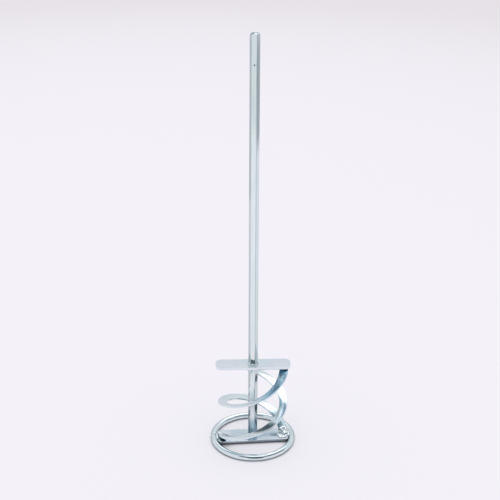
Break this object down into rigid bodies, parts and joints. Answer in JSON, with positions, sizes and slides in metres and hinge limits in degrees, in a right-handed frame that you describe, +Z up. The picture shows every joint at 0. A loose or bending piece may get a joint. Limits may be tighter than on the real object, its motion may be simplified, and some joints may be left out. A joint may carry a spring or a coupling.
{
  "type": "mortar mixing paddle",
  "caption": "Zinc-plated mortar mixing paddle: hexagonal drive shaft, flat cross bars, helical blades and a round-wire ring, welded together.",
  "frame": {"origin": "on the shaft's axis, at the height of the floor that the ring stands on", "axes": "+Z up along the shaft, towards the drill chuck; X along the upper cross bar; -Y towards the front"},
  "size_m": [0.085, 0.0849, 0.4],
  "materials": {
    "shaft_zinc": "drawn steel, bright zinc plated with a pale blue passivation",
    "bar_zinc": "flat steel, bright zinc plated, soft sheen with faint blue and lilac tints",
    "blade_zinc": "rolled strip, bright zinc plated, blue in its reflections",
    "wire_zinc": "round wire, bright zinc plated, glossy",
    "weld_zinc": "weld beads under bright zinc, rippled"
  },
  "bodies": {
    "root": {"hex_shaft": "shaft_zinc", "upper_cross_bar": "bar_zinc", "lower_cross_bar": "bar_zinc", "bottom_ring": "wire_zinc", "front_blade": "blade_zinc", "rear_blade": "blade_zinc", "shaft_top_weld": "weld_zinc", "shaft_under_weld": "weld_zinc", "shaft_foot_weld": "weld_zinc", "right_ring_weld": "weld_zinc", "left_ring_weld": "weld_zinc", "ring_joint_weld": "weld_zinc", "front_blade_top_weld": "weld_zinc", "front_blade_foot_weld": "weld_zinc", "rear_blade_top_weld": "weld_zinc", "rear_blade_foot_weld": "weld_zinc"}
  },
  "joints": []
}
